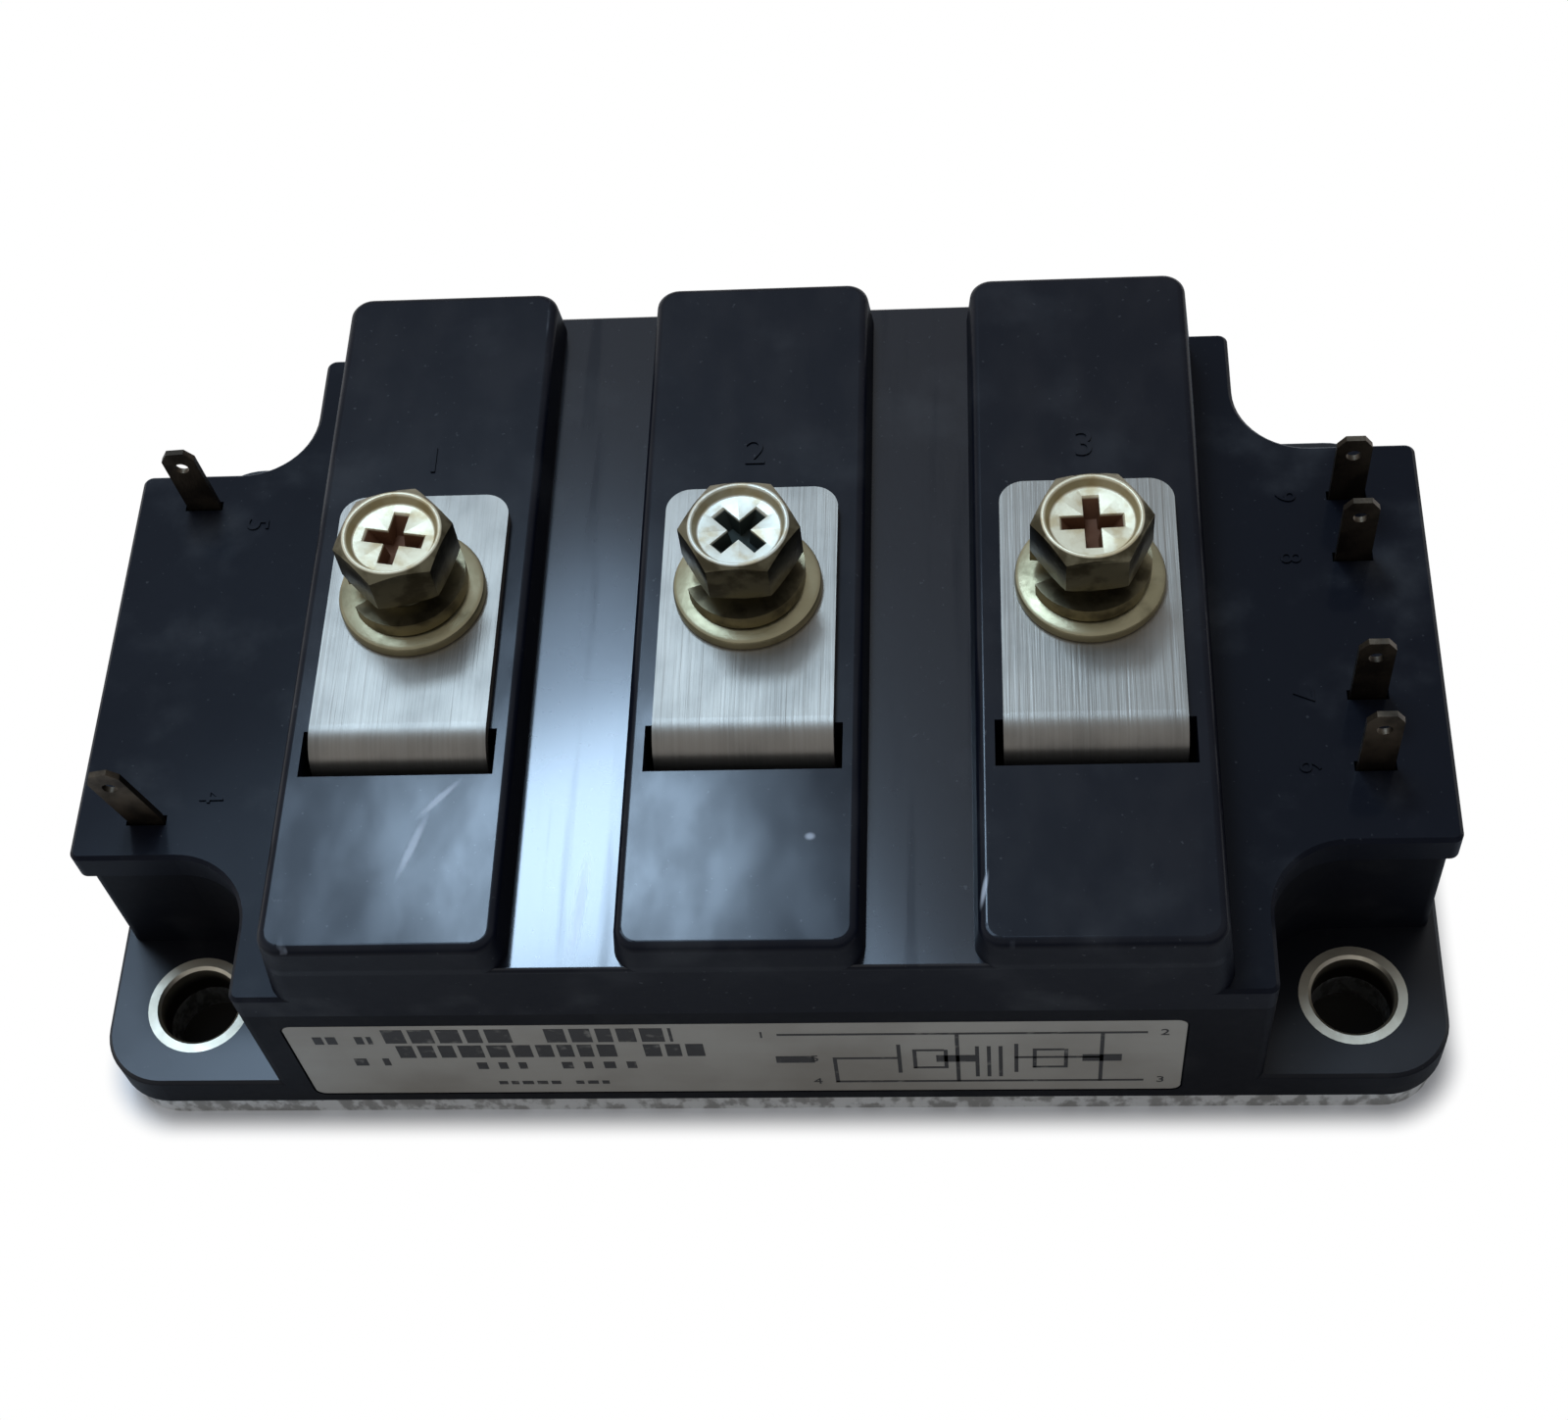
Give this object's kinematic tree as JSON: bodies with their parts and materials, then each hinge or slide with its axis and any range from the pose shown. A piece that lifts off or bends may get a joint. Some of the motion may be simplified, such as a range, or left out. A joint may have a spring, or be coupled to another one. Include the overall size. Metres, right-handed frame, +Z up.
{
  "type": "darlington transistor module",
  "caption": "Insulated darlington transistor module: metal base plate, black moulded case with corner mounting bushes, bent screw terminals in raised blocks and upright signal blades.",
  "frame": {"origin": "centre of the cooling face, under the middle of the base plate", "axes": "+X along the row of terminals, -Y towards the label side, +Z up out of the cooling face"},
  "size_m": [0.1076, 0.062, 0.0391],
  "materials": {
    "nickel_plate": "nickel plated copper, satin, lightly handled",
    "black_moulding": "blue black glass filled moulding, satin gloss",
    "black_moulding_lid": "blue black moulding, glossy on the block tops, fine scuffs",
    "label_foil": "silver grey foil label, satin",
    "bush_metal": "plated brass collar, pale satin rim",
    "terminal_strip": "nickel plated copper strip, brushed along its length",
    "nut_steel": "plated steel",
    "yellow_zinc_washer": "steel with yellow zinc plating",
    "yellow_zinc_screw": "steel with yellow zinc plating, paler on top",
    "tab_metal": "tinned brass, tarnished dark brown",
    "bare_copper": "bare copper",
    "alumina": "white alumina ceramic",
    "silicon": "dark grey silicon with a metallised top",
    "aluminium_wire": "bright wire",
    "silicone": "clear soft silicone gel",
    "epoxy": "black cast resin"
  },
  "bodies": {
    "root": {"base_plate": "nickel_plate", "case": "black_moulding", "lid": "black_moulding_lid", "label": "label_foil", "mounting_bush_left_front": "bush_metal", "mounting_bush_left_rear": "bush_metal", "mounting_bush_right_front": "bush_metal", "mounting_bush_right_rear": "bush_metal", "terminal_left": "terminal_strip", "terminal_nut_left": "nut_steel", "flat_washer_left": "yellow_zinc_washer", "spring_washer_left": "yellow_zinc_washer", "terminal_screw_left": "yellow_zinc_screw", "terminal_centre": "terminal_strip", "terminal_nut_centre": "nut_steel", "flat_washer_centre": "yellow_zinc_washer", "spring_washer_centre": "yellow_zinc_washer", "terminal_screw_centre": "yellow_zinc_screw", "terminal_right": "terminal_strip", "terminal_nut_right": "nut_steel", "flat_washer_right": "yellow_zinc_washer", "spring_washer_right": "yellow_zinc_washer", "terminal_screw_right": "yellow_zinc_screw", "signal_tab_left_front": "tab_metal", "signal_tab_left_rear": "tab_metal", "signal_tab_right_1": "tab_metal", "signal_tab_right_2": "tab_metal", "signal_tab_right_3": "tab_metal", "signal_tab_right_4": "tab_metal", "bridge_link": "bare_copper", "ceramic_substrate_left": "alumina", "copper_pattern_left": "bare_copper", "transistor_chip_left": "silicon", "diode_chip_left": "silicon", "bond_wires_left": "aluminium_wire", "ceramic_substrate_right": "alumina", "copper_pattern_right": "bare_copper", "transistor_chip_right": "silicon", "diode_chip_right": "silicon", "bond_wires_right": "aluminium_wire", "silicone_gel": "silicone", "resin_seal": "epoxy"}
  },
  "joints": []
}
